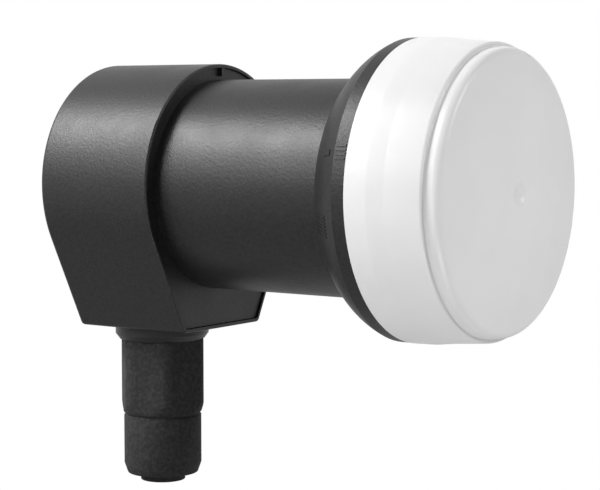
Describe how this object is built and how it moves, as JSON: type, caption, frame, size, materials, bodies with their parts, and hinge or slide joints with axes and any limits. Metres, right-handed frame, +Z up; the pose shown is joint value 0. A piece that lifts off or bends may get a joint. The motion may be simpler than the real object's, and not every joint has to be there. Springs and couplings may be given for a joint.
{
  "type": "satellite lnb",
  "caption": "Satellite LNB with a black drum housing, a round clamp neck, a white domed cap over the feed horn and a weather boot on its F connector.",
  "frame": {"origin": "middle of the clamp neck, on its axis", "axes": "+X along the neck out of the cap towards the dish, +Z up, connector pointing to -Z"},
  "size_m": [0.0901, 0.0542, 0.0861],
  "materials": {
    "black_plastic": "fine moulded grain",
    "white_plastic": "smooth, half matt",
    "black_rubber": "matt rubber",
    "seal_rubber": "matt rubber",
    "cast_alloy": "as cast",
    "board": "coated board",
    "screw_steel": "plated",
    "brass": "bright",
    "ceramic": "ceramic",
    "chip_black": "moulded",
    "can_alloy": "drawn can",
    "nickel": "nickel plated",
    "white_insulator": "smooth"
  },
  "bodies": {
    "lnb": {"absorber_pad": "chip_black", "cap_seal_ring": "seal_rubber", "chip_capacitors": "ceramic", "circuit_board": "board", "connector_body": "nickel", "connector_contact": "brass", "connector_insulator": "white_insulator", "connector_o_ring": "seal_rubber", "cover_screws": "screw_steel", "electrolytic_capacitor": "can_alloy", "feed_horn_ring": "cast_alloy", "front_cap": "white_plastic", "front_shroud": "black_plastic", "high_band_resonator": "ceramic", "horizontal_probe": "brass", "housing_seal": "seal_rubber", "if_amplifier_chip": "chip_black", "low_band_resonator": "ceramic", "low_noise_transistors": "ceramic", "mixer_chip": "chip_black", "rear_housing": "black_plastic", "shield_cover": "cast_alloy", "shroud_screws": "screw_steel", "tuning_screws": "brass", "vertical_probe": "brass", "voltage_regulator": "chip_black", "waveguide_casting": "cast_alloy"},
    "boot": {"weather_boot": "black_rubber"}
  },
  "joints": [
    {"name": "boot_slide", "type": "slide", "parent": "lnb", "child": "boot", "axis": [0, 0, -1], "range_m": [0, 0.045]}
  ]
}
